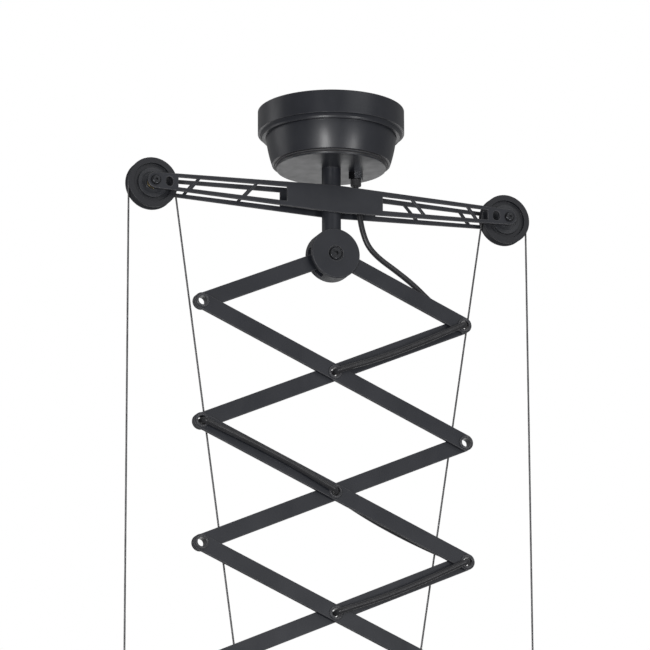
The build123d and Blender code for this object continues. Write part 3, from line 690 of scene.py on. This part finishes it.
class GrowthTrees:
    """Geometry node trees for what repeats on the hanger, each built once."""

    GEOMETRY = "NodeSocketGeometry"
    FLOAT = "NodeSocketFloat"
    INT = "NodeSocketInt"

    def __init__(self) -> None:
        """Build all the trees."""
        self.laid_rope = self._laid_rope()
        self.rolled_rims = self._rolled_rims()

    def _circle(self, w: Wiring, corners: int, radius: Any) -> bpy.types.NodeSocket:
        """Add a circle.

        Args:
            w: The tree's wiring.
            corners: How many corners it has.
            radius: Its radius.

        Returns:
            The circle's curve.
        """
        circle = w.add("GeometryNodeCurvePrimitiveCircle", mode="RADIUS")
        circle.inputs["Resolution"].default_value = corners
        w.feed(circle.inputs["Radius"], radius)
        return circle.outputs[0]

    def _swept(self, w: Wiring, line: Any, section: Any, capped: bool) -> bpy.types.NodeSocket:
        """Sweep a section along a line.

        Args:
            w: The tree's wiring.
            line: The line.
            section: The section.
            capped: Whether the ends are closed.

        Returns:
            The swept mesh.
        """
        sweep = w.fed("GeometryNodeCurveToMesh", [line, section])
        sweep.inputs["Fill Caps"].default_value = capped
        return sweep.outputs[0]

    def _closed(self, w: Wiring, end: bpy.types.Node, start: bpy.types.Node, shape: Any) -> None:
        """End a tree with real geometry and its material.

        Args:
            w: The tree's wiring.
            end: Its output node.
            start: Its input node.
            shape: The geometry to end with.
        """
        real = w.fed("GeometryNodeRealizeInstances", [shape])
        coat = w.fed("GeometryNodeSetMaterial", [real.outputs[0]])
        w.feed(coat.inputs["Material"], start.outputs["Material"])
        w.feed(end.inputs[0], coat.outputs[0])

    def _laid_rope(self) -> bpy.types.NodeTree:
        """Strands laid round a core along any line."""
        w, start, end = new_group(
            "laid_rope",
            "GeometryNodeTree",
            [
                ("Line", self.GEOMETRY, None),
                ("Strands", self.INT, 6),
                ("Lay Length", self.FLOAT, 0.012),
                ("Lay Radius", self.FLOAT, 0.00067),
                ("Strand Radius", self.FLOAT, 0.00034),
                ("Step", self.FLOAT, 0.0011),
                ("Material", "NodeSocketMaterial", None),
            ],
            [("Rope", self.GEOMETRY)],
        )
        curve = w.fed("GeometryNodeMeshToCurve", [start.outputs["Line"]])
        even = w.add("GeometryNodeResampleCurve", mode="LENGTH")
        w.feed(even.inputs["Curve"], curve.outputs[0])
        w.feed(even.inputs["Length"], start.outputs["Step"])
        copies = w.add("GeometryNodeDuplicateElements", domain="SPLINE")
        w.feed(copies.inputs["Geometry"], even.outputs[0])
        w.feed(copies.inputs["Amount"], start.outputs["Strands"])
        travelled = w.add("GeometryNodeSplineParameter").outputs["Length"]
        share = w.maths("DIVIDE", copies.outputs["Duplicate Index"], start.outputs["Strands"])
        turns = w.maths("ADD", w.maths("DIVIDE", travelled, start.outputs["Lay Length"]), share)
        angle = w.maths("MULTIPLY", turns, math.tau)
        normal = w.add("GeometryNodeInputNormal").outputs[0]
        tangent = w.add("GeometryNodeInputTangent").outputs[0]
        across = w.vectors("CROSS_PRODUCT", tangent, normal).outputs[0]
        one = w.scaled(normal, w.maths("MULTIPLY", w.maths("COSINE", angle), start.outputs["Lay Radius"]))
        two = w.scaled(across, w.maths("MULTIPLY", w.maths("SINE", angle), start.outputs["Lay Radius"]))
        moved = w.add("GeometryNodeSetPosition")
        w.feed(moved.inputs["Geometry"], copies.outputs["Geometry"])
        w.feed(moved.inputs["Offset"], w.vectors("ADD", one, two).outputs[0])
        section = self._circle(w, 6, start.outputs["Strand Radius"])
        both = w.add("GeometryNodeJoinGeometry")
        for line in (moved.outputs[0], even.outputs[0]):
            w.feed(both.inputs[0], self._swept(w, line, section, capped=True))
        self._closed(w, end, start, both.outputs[0])
        return w.tree

    def _rolled_rims(self) -> bpy.types.NodeTree:
        """A rolled ring round the Y axis at every point."""
        w, start, end = new_group(
            "rolled_rims",
            "GeometryNodeTree",
            [
                ("Places", self.GEOMETRY, None),
                ("Ring Radius", self.FLOAT, 0.0058),
                ("Roll Radius", self.FLOAT, 0.0009),
                ("Turn", "NodeSocketVector", (math.pi / 2, 0.0, 0.0)),
                ("Material", "NodeSocketMaterial", None),
            ],
            [("Rims", self.GEOMETRY)],
        )
        ring = self._circle(w, 48, start.outputs["Ring Radius"])
        roll = self._circle(w, 14, start.outputs["Roll Radius"])
        rim = self._swept(w, ring, roll, capped=False)
        points = w.fed("GeometryNodeMeshToPoints", [start.outputs["Places"]])
        spread = w.fed("GeometryNodeInstanceOnPoints", [points.outputs[0]])
        w.feed(spread.inputs["Instance"], rim)
        w.feed(spread.inputs["Rotation"], start.outputs["Turn"])
        self._closed(w, end, start, spread.outputs[0])
        return w.tree


TREES = GrowthTrees()


def grown(
    name: str, base: bpy.types.Mesh, tree: bpy.types.NodeTree, slot: Slot, **values: Any
) -> bpy.types.Object:
    """Run a geometry node tree on a mesh and keep its result as a plain mesh.

    Args:
        name: The piece's name.
        base: The mesh that the tree starts from.
        tree: The tree.
        slot: The slot that the finish comes from.
        values: The tree's inputs, with spaces in their names written as underscores.

    Returns:
        The finished piece.
    """
    seed = stand(name + "_seed", base)
    growth = seed.modifiers.new("growth", "NODES")
    growth.node_group = tree
    wanted = {key.replace("_", " "): value for key, value in values.items()}
    wanted["Material"] = MATERIALS[slot]
    for item in tree.interface.items_tree:
        if item.item_type == "SOCKET" and item.in_out == "INPUT" and item.name in wanted:
            growth[item.identifier] = wanted[item.name]
    return finished(stand(name, baked(seed)), slot)


def turned(
    name: str, outline: Sequence[tuple[float, float]], top: Vector, way: Vector, slot: Slot
) -> bpy.types.Object:
    """A closed shape turned round an axis.

    Args:
        name: The piece's name.
        outline: Its (radius, distance along the axis), from end to end.
        top: Where the axis starts.
        way: The axis, one long.
        slot: The slot that the finish comes from.

    Returns:
        The finished piece.
    """
    count = 32
    side = way.orthogonal().normalized()
    other = way.cross(side)
    angles = [math.tau * k / count for k in range(count)]
    spokes = [side * math.cos(angle) + other * math.sin(angle) for angle in angles]
    points = [tuple(top + way * along + spoke * radius) for radius, along in outline for spoke in spokes]
    faces: list[tuple[int, ...]] = []
    for row in range(len(outline) - 1):
        for k in range(count):
            a, b = row * count + k, row * count + (k + 1) % count
            faces.append((a, b, b + count, a + count))
    faces.append(tuple(reversed(range(count))))
    faces.append(tuple(range((len(outline) - 1) * count, len(outline) * count)))
    mesh = bpy.data.meshes.new(name)
    mesh.from_pydata(points, [], faces)
    mesh.update()
    return finished(stand(name, mesh), slot)


# ------------------------------------------------------------------ sub-assemblies
@dataclass
class CeilingUnit:
    """Canopy, stem, gland, crossbar and upper hub, which don't move."""

    body: str = "ceiling_unit"
    gland: Point = (0.028, 0.003, -0.0685)
    ribs: int = 5
    rib_margin: float = 0.0009
    rib_span: float = 0.0053
    rib_ring: float = 0.0049
    rib_roll: float = 0.0007
    sleeve_outline: tuple[tuple[float, float], ...] = (
        (0.0047, 0.0), (0.0047, 0.004), (0.0042, 0.0066), (0.0032, 0.0075),
    )
    nodes: tuple[str, ...] = (
        "canopy_ring", "canopy_bowl", "ceiling_bracket", "stem", "stem_nuts", "stem_washer", "gland_body",
        "gland_locknut", "crossbar_front_plate", "crossbar_back_plate", "pulley_axle_bolts",
        "pulley_axle_nuts", "pulley_spacers", "upper_hub", "hub_bolt", "hub_nut",
    )

    def build(self) -> None:
        """Dress the fixed nodes and make the gland's rubber sleeve."""
        for node in self.nodes:
            dress_node(node)
        self._sleeve()

    def _sleeve(self) -> None:
        """Tapered rubber sleeve with round ribs, in place of the plain CAD one."""
        x, y, z = self.gland
        down = Vector((0.0, 0.0, -1.0))
        core = turned("sleeve_core", self.sleeve_outline, Vector(self.gland), down, Slot.SLEEVE)
        step = self.rib_span / (self.ribs - 1)
        places = [Vector((x, y, z - self.rib_margin - k * step)) for k in range(self.ribs)]
        rings = grown(
            "sleeve_ribs",
            polyline_mesh("sleeve_places", [places]),
            TREES.rolled_rims,
            Slot.SLEEVE,
            Ring_Radius=self.rib_ring,
            Roll_Radius=self.rib_roll,
            Turn=(0.0, 0.0, 0.0),
        )
        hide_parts("gland_sleeve")
        for piece in (core, rings):
            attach(piece, self.body)


@dataclass
class Pulleys:
    """The two grooved wheels and their brass bushes."""

    def build(self) -> None:
        """Dress both wheels."""
        for side in Side:
            dress_node(f"pulley_{side.word}")
            dress_node(f"pulley_bush_{side.word}")


@dataclass
class Scissor:
    """Flat arms and hollow rivets, with a rolled rim on every rivet."""

    pitch: float = 0.154
    slope: float = 23.6
    hub_height: float = -0.1535
    front: float = -0.01042
    back: float = 0.00042
    ring: float = 0.00585
    roll: float = 0.0006
    stages: int = 3
    half_width: float = field(init=False)
    half_drop: float = field(init=False)

    def __post_init__(self) -> None:
        """Work out the step from pivot to pivot."""
        self.half_width = self.pitch * math.cos(math.radians(self.slope))
        self.half_drop = self.pitch * math.sin(math.radians(self.slope))

    def pivot(self, side: int, step: int) -> tuple[float, float]:
        """Place of a pivot.

        Args:
            side: -1 left, 0 middle, 1 right.
            step: How many half arms it lies below the hub.

        Returns:
            Its place across and its height.
        """
        return side * self.half_width, self.hub_height - step * self.half_drop

    def rims(self, name: str, body: str, pivots: Sequence[tuple[float, float]]) -> None:
        """Rolled rims on the front and back heads of some rivets.

        Args:
            name: The piece's name.
            body: The body that the rivets ride on.
            pivots: Where the rivets are.
        """
        places = [Vector((x, y, z)) for x, z in pivots for y in (self.front, self.back)]
        piece = grown(
            name,
            polyline_mesh(name + "_places", [places]),
            TREES.rolled_rims,
            Slot.EYELET,
            Ring_Radius=self.ring,
            Roll_Radius=self.roll,
        )
        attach(piece, body)

    def build(self) -> None:
        """Dress the arms and rivets and roll the rivets' rims."""
        for side in Side:
            word = side.word
            for node in (f"upper_half_arm_{word}", f"lower_half_arm_{word}", f"eyelet_upper_{word}"):
                dress_node(node)
            self.rims(f"rims_upper_{word}", f"upper_arm_{word}", [self.pivot(side.value, 1)])
        for stage in range(1, self.stages + 1):
            for node in ("arm_front", "arm_back", "eyelets_front", "eyelet_back"):
                dress_node(f"{node}_{stage}")
            middle, right = self.pivot(0, 2 * stage), self.pivot(1, 2 * stage + 1)
            self.rims(f"rims_front_{stage}", f"front_arm_{stage}", [middle, right])
            self.rims(f"rims_back_{stage}", f"back_arm_{stage}", [self.pivot(-1, 2 * stage + 1)])
        for node in ("lamp_hub", "lamp_pivot"):
            dress_node(node)


@dataclass
class PowerCable:
    """Black rubber cable from the gland, threaded through the hollow rivets."""

    radius: float = 0.0029
    front: float = -0.0140
    back: float = 0.0040
    meet_front: float = -0.00515
    meet_back: float = -0.00485
    lead: float = 0.009
    drops: tuple[float, float, float] = (0.0030, -0.0028, 0.0030)
    loop_length: float = 0.199
    run_length: float = 0.333
    lower_length: float = 0.170
    bend_start: Point = (0.045, 0.0, -0.150)
    bend_end: Point = (0.128, 0.0, -0.206)
    scissor: Scissor = field(default_factory=Scissor)

    def between(self, start: Any, end: Any, share: float, y: float, sag: float) -> Point:
        """A route point part of the way from one pivot to another.

        Args:
            start: The first pivot.
            end: The second pivot.
            share: How far along it lies.
            y: Its depth.
            sag: How far it hangs under the straight line.

        Returns:
            The point.
        """
        return (start[0] + (end[0] - start[0]) * share, y, start[1] + (end[1] - start[1]) * share - sag)

    def run_points(self, stage: int) -> list[Point]:
        """Control points of the run along one arm of a stage."""
        side = 1 if stage != 2 else -1
        first = self.scissor.pivot(side, 2 * stage - 1)
        middle = self.scissor.pivot(0, 2 * stage)
        last = self.scissor.pivot(-side, 2 * stage + 1)
        near = self.lead / self.scissor.pitch
        drop = self.drops[stage - 1]
        return [
            (first[0], self.meet_front, first[1]),
            (first[0], self.front, first[1]),
            self.between(first, middle, near, self.front, 0.06 * drop),
            self.between(first, middle, 0.36, self.front + 0.0009, drop),
            self.between(first, middle, 0.68, self.front + 0.0009, 1.1 * drop),
            self.between(first, middle, 1 - near, self.front, 0.0002),
            (middle[0], self.front, middle[1]),
            (middle[0], self.back, middle[1]),
            self.between(middle, last, near, self.back, 0.0003),
            self.between(middle, last, 0.33, self.back + 0.0003, 0.0045),
            self.between(middle, last, 0.66, self.back + 0.0004, 0.0040),
            self.between(middle, last, 1 - near, self.back, 0.0003),
            (last[0], self.back, last[1]),
            (last[0], self.meet_back, last[1]),
        ]

    def loop_points(self) -> list[Point]:
        """Control points of the free loop from the gland to the first right rivet."""
        x, z = self.scissor.pivot(1, 1)
        return [
            (0.0280, 0.0030, -0.0760),
            (0.0286, 0.0029, -0.0880),
            (0.0315, 0.0028, -0.1050),
            (0.0350, 0.0030, -0.1230),
            (0.0410, 0.0035, -0.1380),
            (0.0530, 0.0039, -0.1495),
            (0.0720, 0.0042, -0.1610),
            (0.0910, 0.0042, -0.1740),
            (0.1080, 0.0042, -0.1890),
            (0.1265, 0.0041, -0.2035),
            (x - 0.0075, self.back, z + 0.0060),
            (x, self.back, z),
            (x, self.meet_back, z),
        ]

    def lower_points(self) -> list[Point]:
        """Control points of the last run, into the hollow pivot of the lower hub."""
        first = self.scissor.pivot(-1, 2 * self.scissor.stages + 1)
        last = self.scissor.pivot(0, 2 * self.scissor.stages + 2)
        out = -0.0176
        near = self.lead / self.scissor.pitch
        return [
            (first[0], self.meet_front, first[1]),
            (first[0], self.front, first[1]),
            self.between(first, last, near, self.front - 0.0001, 0.0002),
            self.between(first, last, 0.36, self.front - 0.0004, 0.0020),
            self.between(first, last, 0.68, out + 0.0004, 0.0016),
            self.between(first, last, 1 - near, out, 0.0002),
            (last[0], out, last[1]),
            (last[0], -0.0050, last[1]),
        ]

    def build(self) -> None:
        """Make the six lengths of the cable as one loop and four runs."""
        loop = Route("cable_loop", self.loop_points(), self.radius)
        tube = finished(loop.tube(), Slot.CABLE)
        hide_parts("cable_upper", "cable_entry")
        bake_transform(tube)
        [tuple(p) for p in loop.line()]
        carriers = ("back_arm_1", "front_arm_2", "back_arm_3")
        runs = [(f"cable_run_{k}", self.run_points(k), body) for k, body in enumerate(carriers, 1)]
        runs.append(("cable_lower", self.lower_points(), "lower_arm_left"))
        for node, points, body in runs:
            piece = finished(Route("threaded_" + node, points, self.radius).curve(True), Slot.CABLE)
            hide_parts(node)
            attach(piece, body)


@dataclass
class WireRopes:
    """Laid steel ropes over the pulleys, down to the counterweights and to the lamp."""

    axle: tuple[float, float] = (0.192, -0.0955)
    groove: float = 0.02405
    depth: float = 0.0025
    radius: float = 0.001
    outer_top: float = -0.0958
    outer_foot: float = -0.602
    inner_top: Point = (0.16817, 0.00251, -0.09224)
    inner_foot: Point = (0.092, 0.017, -0.602)
    ferrule: float = 0.011
    ferrule_radius: float = 0.0024
    ferrule_bore: float = 0.0011
    ferrule_bevel: float = 0.0005
    bevel_step: float = 0.0004
    crimps: int = 3
    crimp_start: float = 0.0018
    crimp_pitch: float = 0.0028
    eye: float = 0.0065
    eye_gap: float = 0.0001
    eye_corners: int = 48
    outer_length: float = 0.506
    inner_length: float = 0.516
    turn: tuple[tuple[float, float], ...] = (
        (0.02405, -0.0003), (0.02412, 0.0064), (0.0176, 0.0176), (0.0064, 0.0241),
        (-0.0064, 0.0241), (-0.0176, 0.0176), (-0.0232, 0.0080), (-0.0238, 0.0034),
    )

    def groove_ropes(self) -> None:
        """Half turns in both grooves."""
        lines = []
        for side in Side:
            s = side.value
            points = [(s * (self.axle[0] + x), self.depth, self.axle[1] + z) for x, z in self.turn]
            lines.append(Route("groove", points, self.radius).line())
        piece = grown("ropes_in_grooves", polyline_mesh("groove_lines", lines), TREES.laid_rope, Slot.ROPE)
        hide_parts("rope_turns")
        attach(piece, "ceiling_unit")

    def ferrule_outline(self) -> list[tuple[float, float]]:
        """Half section of a ferrule, with a round of crimps pressed in."""
        r, cut, step = self.ferrule_radius, self.ferrule_bevel, self.bevel_step
        shape = [(self.ferrule_bore, 0.0), (r - step, 0.0), (r, cut)]
        for k in range(self.crimps):
            z = self.crimp_start + k * self.crimp_pitch
            shape += [(r, z), (r - cut, z + step), (r - cut, z + 3 * step), (r, z + 4 * step)]
        return shape + [(r, self.ferrule - cut), (r - step, self.ferrule), (self.ferrule_bore, self.ferrule)]

    def fall(self, kind: str, side: Side, top: Point, foot: Point) -> None:
        """One straight rope with its ferrule and eye.

        Args:
            kind: Which rope, outer or inner.
            side: Its side.
            top: Where it leaves its pulley.
            foot: Where it goes into its ferrule.
        """
        word, body = side.word, f"{kind}_rope_end_{side.word}"
        start, stop = Vector(top), Vector(foot)
        way = (stop - start).normalized()
        route = Route("straight", [top, tuple((start + stop) / 2), foot], self.radius)
        line = route.line()
        base = polyline_mesh("straight_line", [line])
        rope = grown(f"laid_{kind}_{word}", base, TREES.laid_rope, Slot.ROPE)
        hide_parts(f"rope_{kind}_{word}")
        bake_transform(rope)
        ferrule = turned(f"crimped_{kind}_{word}", self.ferrule_outline(), stop, way, Slot.FERRULE)
        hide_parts(f"ferrule_{kind}_{word}")
        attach(ferrule, body)
        centre = stop + way * (self.ferrule + self.eye + self.radius + self.eye_gap)
        turns = (math.tau * k / self.eye_corners for k in range(self.eye_corners))
        ring = [centre + Vector((math.cos(a), 0.0, math.sin(a))) * self.eye for a in turns]
        base = polyline_mesh("eye_line", [ring], closed=True)
        eye = grown(f"eye_{kind}_{word}", base, TREES.laid_rope, Slot.ROPE)
        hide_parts(f"rope_eye_{kind}_{word}")
        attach(eye, body)

    def build(self) -> None:
        """Make every rope."""
        self.groove_ropes()
        for side in Side:
            s = side.value
            outer = s * (self.axle[0] + self.groove)
            top, foot = (outer, self.depth, self.outer_top), (outer, self.depth, self.outer_foot)
            self.fall("outer", side, top, foot)
            top, foot = ((s * x, y, z) for x, y, z in (self.inner_top, self.inner_foot))
            self.fall("inner", side, top, foot)


# ------------------------------------------------------------------ studio
@dataclass(frozen=True)
class SoftBox:
    """A soft rectangular light that faces the object."""

    name: str
    azimuth: float
    elevation: float
    distance: float
    width: float
    height: float
    power: float

    def build(self, aim: Vector) -> None:
        """Hang the light and turn it to the aim point."""
        data = bpy.data.lights.new(self.name, "AREA")
        data.shape = "RECTANGLE"
        data.size = self.width
        data.size_y = self.height
        data.energy = self.power
        light = stand(self.name, data)
        light.location = aim + bearing(self.azimuth, self.elevation) * self.distance
        light.rotation_euler = (aim - light.location).to_track_quat("-Z", "Y").to_euler()


def bearing(azimuth: float, elevation: float) -> Vector:
    """Direction from the object towards a place at an azimuth and elevation in degrees."""
    a, e = math.radians(azimuth), math.radians(elevation)
    return Vector((math.sin(a) * math.cos(e), -math.cos(a) * math.cos(e), math.sin(e)))


@dataclass
class Studio:
    """Pale floor, white surroundings, soft lights and the camera."""

    azimuth: float = -20.58
    elevation: float = -15.17
    roll: float = -0.22
    distance: float = 4.196
    lens: float = 229.96
    aim: Point = (-0.0074, 0.0, -0.2264)
    floor_height: float = -3.4
    floor_size: float = 16.0
    surround: float = 0.22
    backdrop: float = 1.0
    lights: tuple[SoftBox, ...] = (
        SoftBox("key_strip", -33.0, -12.0, 2.6, 0.55, 0.8, 24.0),
        SoftBox("side_strip", 20.0, -12.0, 2.8, 0.45, 0.7, 15.0),
        SoftBox("front_fill", 25.0, 35.0, 3.0, 1.8, 1.4, 9.0),
        SoftBox("left_fill", -120.0, 10.0, 2.6, 1.2, 1.6, 5.0),
        SoftBox("back_low", 160.0, -17.0, 3.0, 2.6, 1.0, 7.0),
    )

    def build(self) -> None:
        """Set up the whole studio."""
        self._floor()
        self._world()
        for light in self.lights:
            light.build(Vector(self.aim))
        self._camera()

    def _floor(self) -> None:
        """Wide pale floor well under the hanger."""
        half = self.floor_size / 2
        mesh = bpy.data.meshes.new("floor")
        z = self.floor_height
        corners = [(-half, -half, z), (half, -half, z), (half, half, z), (-half, half, z)]
        mesh.from_pydata(corners, [], [(0, 1, 2, 3)])
        floor = stand("floor", mesh)
        material, w, shader, place = start_material("pale_floor")
        tone = w.blend(w.noise(place, 1.5, 2.0), (0.80, 0.80, 0.80, 1.0), (0.84, 0.84, 0.84, 1.0))
        w.feed(shader.inputs["Base Color"], tone)
        shader.inputs["Roughness"].default_value = 0.8
        mesh.materials.append(material)
        floor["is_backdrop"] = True

    def _world(self) -> None:
        """White surroundings, brighter behind the object than in its reflections."""
        bpy.context.scene.view_settings.view_transform = "Standard"
        world = bpy.data.worlds.new("white_surround")
        world.use_nodes = True
        bpy.context.scene.world = world
        w = Wiring(world.node_tree)
        w.tree.nodes.clear()
        white = (1.0, 1.0, 1.0, 1.0)
        seen = w.fed("ShaderNodeBackground", [white, self.backdrop])
        felt = w.fed("ShaderNodeBackground", [white, self.surround])
        direct = w.add("ShaderNodeLightPath").outputs["Is Camera Ray"]
        mix = w.fed("ShaderNodeMixShader", [direct, felt.outputs[0], seen.outputs[0]])
        w.fed("ShaderNodeOutputWorld", [mix.outputs[0]])

    def _camera(self) -> None:
        """Long lens from the lower left."""
        data = bpy.data.cameras.new("camera")
        data.lens = self.lens
        data.sensor_width = 36.0
        data.clip_end = 60.0
        camera = stand("camera", data)
        aim = Vector(self.aim)
        back = bearing(self.azimuth, self.elevation)
        camera.location = aim + back * self.distance
        turn = back.to_track_quat("Z", "Y")
        camera.rotation_euler = turn.to_euler()
        camera.rotation_euler.rotate_axis("Z", math.radians(self.roll))
        bpy.context.scene.camera = camera


def main() -> None:
    """Build every sub-assembly in order."""
    logging.basicConfig(level=logging.INFO, format="%(name)s: %(message)s")
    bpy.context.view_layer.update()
    for assembly in (CeilingUnit(), Pulleys(), Scissor(), PowerCable(), WireRopes()):
        assembly.build()
        LOG.info("built %s", type(assembly).__name__)
    Studio().build()
    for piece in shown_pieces():
        LOG.info("%s is a %s", piece.name, piece.type)


if __name__ == "__main__":
    main()
